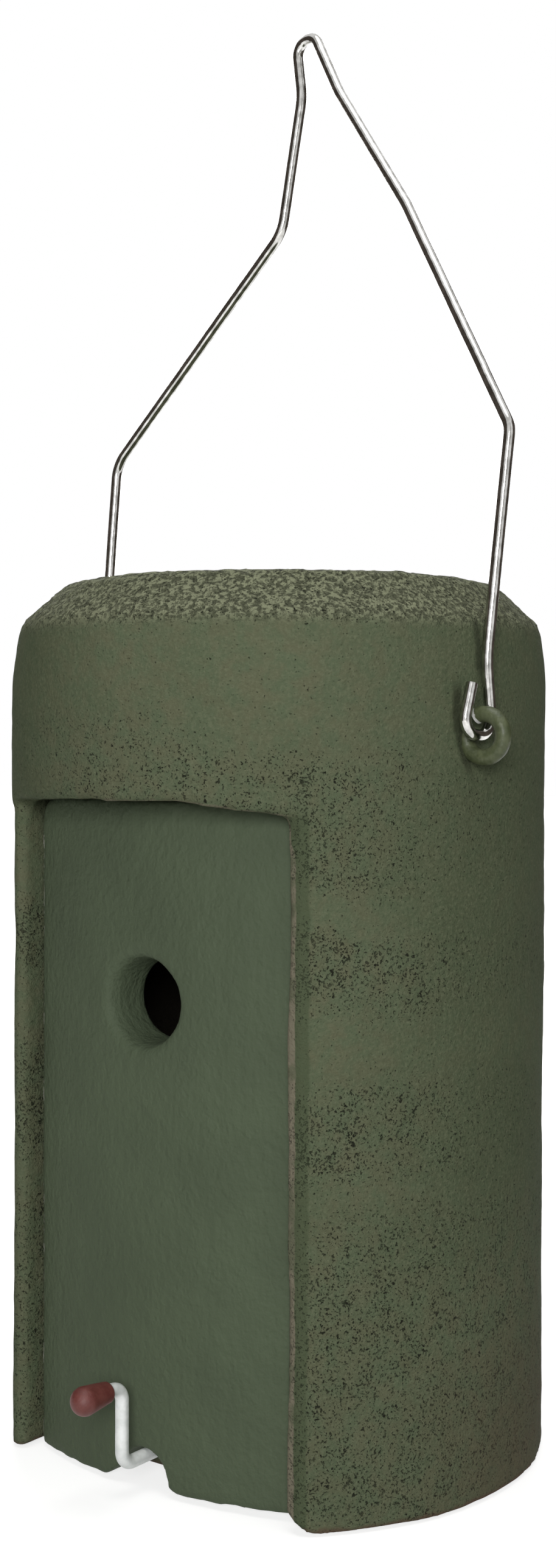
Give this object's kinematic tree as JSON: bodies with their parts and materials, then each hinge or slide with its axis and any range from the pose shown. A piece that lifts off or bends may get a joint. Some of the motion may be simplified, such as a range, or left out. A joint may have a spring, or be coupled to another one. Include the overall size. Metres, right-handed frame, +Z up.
{
  "type": "nest box",
  "caption": "Olive woodcrete nest box: bevelled round body, lift-out front panel with a 32 mm entrance, cranked latch and wire hanging bail.",
  "frame": {"origin": "centre of the round base, on the plane the box stands on", "axes": "+X to the right of the box as seen by a viewer facing its front panel; -Y out of the front panel and the entrance hole; +Z up along the body's axis towards the bail"},
  "size_m": [0.2297, 0.215, 0.5357],
  "materials": {
    "woodcrete": "rough cast woodcrete, olive-green paint with open pits",
    "panel_woodcrete": "smoother pressed woodcrete, olive-green paint brushed on",
    "coated_steel": "steel rod under the body's green paint",
    "galvanised_wire": "bright galvanised wire with bending marks",
    "pale_rod": "pale satin zinc-coated rod",
    "cap_plastic": "matte dark red-brown dipped plastic"
  },
  "bodies": {
    "body": {"body_shell": "woodcrete", "right_eye": "coated_steel", "left_eye": "coated_steel"},
    "panel": {"front_panel": "panel_woodcrete"},
    "latch": {"latch_crank": "pale_rod", "latch_cap": "cap_plastic"},
    "bail": {"bail": "galvanised_wire"}
  },
  "joints": [
    {"name": "bail_swing", "type": "hinge", "parent": "body", "child": "bail", "pos_m": [-0.00106, -0.00717, 0.27112], "axis": [0.9893, -0.1461, 0], "range_deg": [-120, 130]},
    {"name": "panel_release", "type": "slide", "parent": "body", "child": "panel", "axis": [0, -1, 0], "range_m": [0, 0.042]},
    {"name": "latch_turn", "type": "hinge", "parent": "panel", "child": "latch", "pos_m": [0, -0.0585, 0.012], "axis": [0, -1, 0], "range_deg": [-180, 180]}
  ]
}
